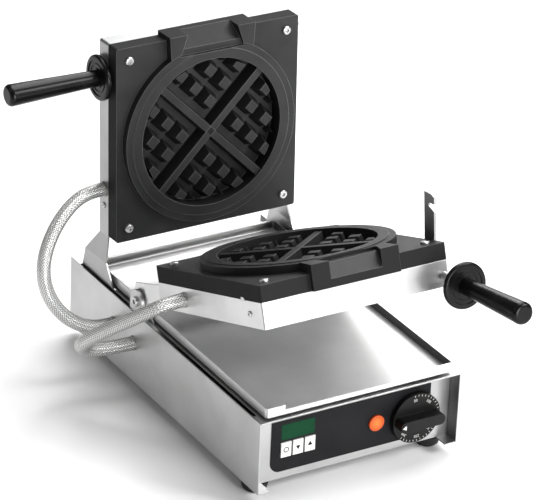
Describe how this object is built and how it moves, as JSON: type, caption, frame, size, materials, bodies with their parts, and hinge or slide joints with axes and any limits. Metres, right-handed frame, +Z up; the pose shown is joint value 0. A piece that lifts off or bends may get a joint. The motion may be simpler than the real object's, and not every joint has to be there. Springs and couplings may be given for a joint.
{
  "type": "waffle iron",
  "caption": "Counter-top waffle iron: hinged cast plates with a round studded cavity, carried on a sheet-steel base with drip tray, dial and keys",
  "frame": {"origin": "on the table, under the middle of the base's side walls", "axes": "X to the operator's right, Y from the controls to the back, Z up"},
  "size_m": [0.3962, 0.604, 0.4214],
  "materials": {
    "housing_steel": "brushed stainless sheet",
    "tray_steel": "satin stainless sheet",
    "casing_steel": "satin stainless sheet",
    "plate_iron": "seasoned casting with machined studs",
    "fascia_black": "printed film",
    "display_glass": "dark green window",
    "lamp_lens": "amber lens",
    "key_plastic": "moulded",
    "knob_plastic": "moulded",
    "handle_plastic": "moulded heat-proof",
    "inner_plastic": "moulded",
    "board_green": "circuit board",
    "foot_rubber": "moulded",
    "fixing_steel": "turned",
    "latch_steel": "flat bar",
    "gland_metal": "nickel plated",
    "braid": "braided wire sleeve",
    "element_steel": "oxidised tube",
    "wool": "mineral wool"
  },
  "bodies": {
    "base": {"side_wall_left": "housing_steel", "side_wall_right": "housing_steel", "floor_plate": "housing_steel", "rear_panel": "housing_steel", "front_panel": "housing_steel", "control_fascia": "fascia_black", "top_deck": "housing_steel", "display_window": "display_glass", "pilot_lamp": "lamp_lens", "feet": "foot_rubber", "tray_pads": "foot_rubber", "hinge_post_left": "housing_steel", "hinge_post_right": "housing_steel", "pivot_bolts": "fixing_steel", "base_conduit_glands": "gland_metal", "mains_gland": "inner_plastic", "lower_conduit": "braid", "upper_conduit": "braid", "timer_board": "board_green", "board_spacers": "inner_plastic", "thermostat": "inner_plastic", "terminal_block": "inner_plastic"},
    "tray": {"drip_tray": "tray_steel"},
    "dial": {"dial_knob": "knob_plastic", "dial_shaft": "fixing_steel"},
    "start": {"start_key": "key_plastic"},
    "down": {"down_key": "key_plastic"},
    "up": {"up_key": "key_plastic"},
    "lower_iron": {"lower_baking_plate": "plate_iron", "lower_waffle_grid": "plate_iron", "opening_stops": "fixing_steel", "latch_stop": "fixing_steel", "lower_casing": "casing_steel", "lower_heating_element": "element_steel", "lower_insulation": "wool", "lower_plate_screws": "fixing_steel", "lower_handle_guard": "handle_plastic", "lower_handle_grip": "handle_plastic", "lower_handle_rod": "fixing_steel", "lower_handle_nut": "fixing_steel", "latch_bolt": "fixing_steel", "lower_conduit_gland": "gland_metal"},
    "upper_iron": {"upper_baking_plate": "plate_iron", "upper_waffle_grid": "plate_iron", "upper_casing": "casing_steel", "upper_heating_element": "element_steel", "upper_insulation": "wool", "upper_plate_screws": "fixing_steel", "upper_handle_guard": "handle_plastic", "upper_handle_grip": "handle_plastic", "upper_handle_rod": "fixing_steel", "upper_handle_nut": "fixing_steel", "latch_pin": "fixing_steel", "upper_conduit_gland": "gland_metal"},
    "latch": {"latch_hook": "latch_steel"}
  },
  "joints": [
    {"name": "lower_swing", "type": "hinge", "parent": "base", "child": "lower_iron", "pos_m": [0, 0.067, 0.1222], "axis": [-1, 0, 0], "range_deg": [0, 12], "deforming": ["lower_conduit", "upper_conduit"]},
    {"name": "upper_open", "type": "hinge", "parent": "lower_iron", "child": "upper_iron", "pos_m": [0, 0.067, 0.1222], "axis": [-1, 0, 0], "range_deg": [-72.58, 0], "deforming": ["upper_conduit"]},
    {"name": "latch_swing", "type": "hinge", "parent": "lower_iron", "child": "latch", "pos_m": [0.126, -0.16484, 0.21493], "axis": [1, 0, 0], "range_deg": [0, 8]},
    {"name": "tray_slide", "type": "slide", "parent": "base", "child": "tray", "axis": [0, -1, 0], "range_m": [0, 0.2]},
    {"name": "dial_turn", "type": "hinge", "parent": "base", "child": "dial", "pos_m": [0.084, -0.2131, 0.054], "axis": [0, -1, 0], "range_deg": [0, 270]},
    {"name": "start_press", "type": "slide", "parent": "base", "child": "start", "axis": [0, 1, 0], "range_m": [0, 0.0012], "stiffness_N_per_m": 300, "springref_m": -0.0005},
    {"name": "down_press", "type": "slide", "parent": "base", "child": "down", "axis": [0, 1, 0], "range_m": [0, 0.0012], "stiffness_N_per_m": 300, "springref_m": -0.0005},
    {"name": "up_press", "type": "slide", "parent": "base", "child": "up", "axis": [0, 1, 0], "range_m": [0, 0.0012], "stiffness_N_per_m": 300, "springref_m": -0.0005}
  ]
}
